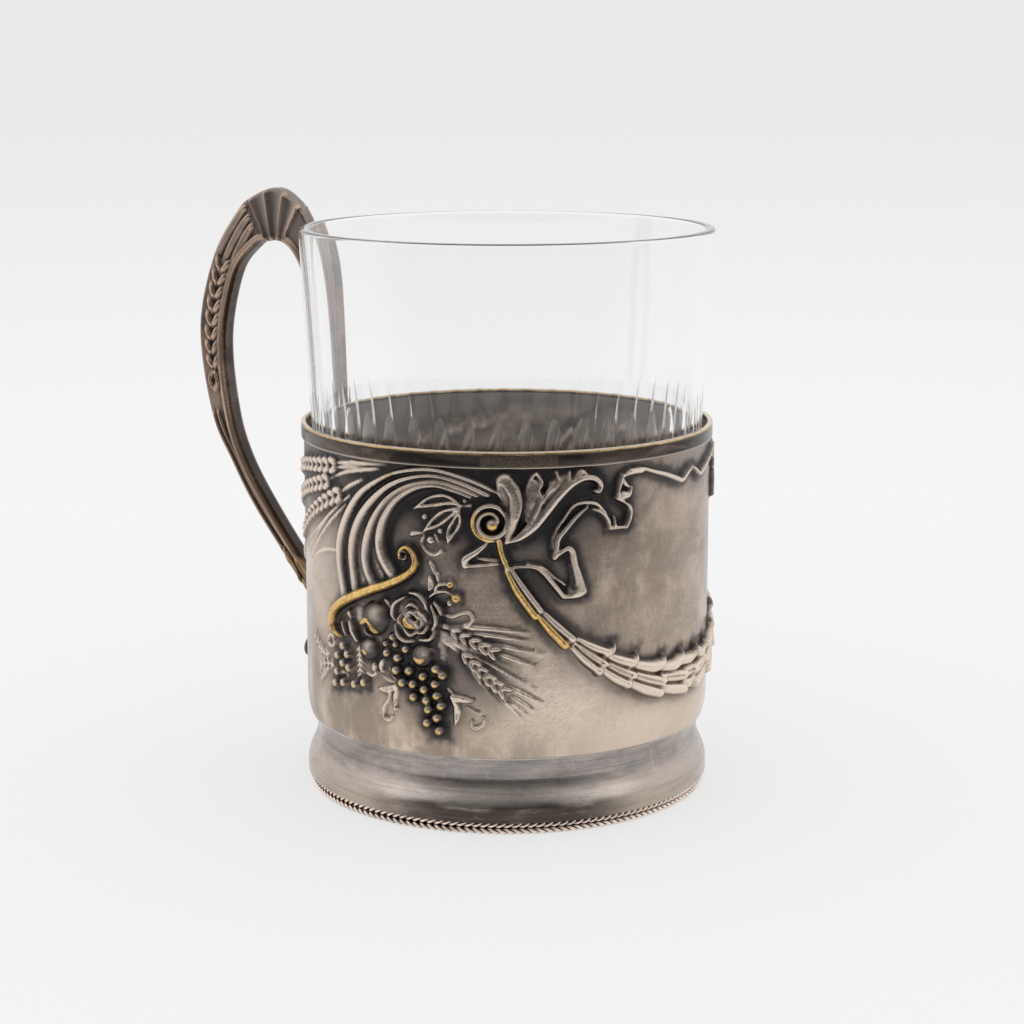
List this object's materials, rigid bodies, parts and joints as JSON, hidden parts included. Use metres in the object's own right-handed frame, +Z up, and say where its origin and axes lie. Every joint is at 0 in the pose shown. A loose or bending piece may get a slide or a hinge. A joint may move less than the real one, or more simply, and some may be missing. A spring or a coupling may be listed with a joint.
{
  "type": "tea glass holder",
  "caption": "Round metal tea glass holder with a relief-stamped sleeve, flared foot and tall loop handle, carrying a clear tea glass with cut flutes that lifts out.",
  "frame": {"origin": "on the holder's axis, in the plane of the table that the foot stands on", "axes": "+Z up along the axis of the sleeve and the glass; the handle points along -X and the middle of the front ornament faces +X"},
  "size_m": [0.1039, 0.0754, 0.1046],
  "materials": {
    "worn_silver_plate": "silver plate over brass, worn and tarnished, satin, dark patina in the recesses",
    "gilded_edge": "silver plate with a worn gold line, polished by use",
    "copper_brown_casting": "plated casting worn to a warm copper brown, dark in the recesses",
    "clear_glass": "clear, polished, with cut flutes"
  },
  "bodies": {
    "holder": {"sleeve": "worn_silver_plate", "rim_band": "worn_silver_plate", "rim_ring": "gilded_edge", "foot_ring": "worn_silver_plate", "trim_wire_lower": "worn_silver_plate", "trim_wire_upper": "worn_silver_plate", "floor_plate": "worn_silver_plate", "handle": "copper_brown_casting"},
    "glass": {"tea_glass": "clear_glass"}
  },
  "joints": [
    {"name": "glass_lift", "type": "slide", "parent": "holder", "child": "glass", "axis": [0, 0, 1], "range_m": [0, 0.06]}
  ]
}
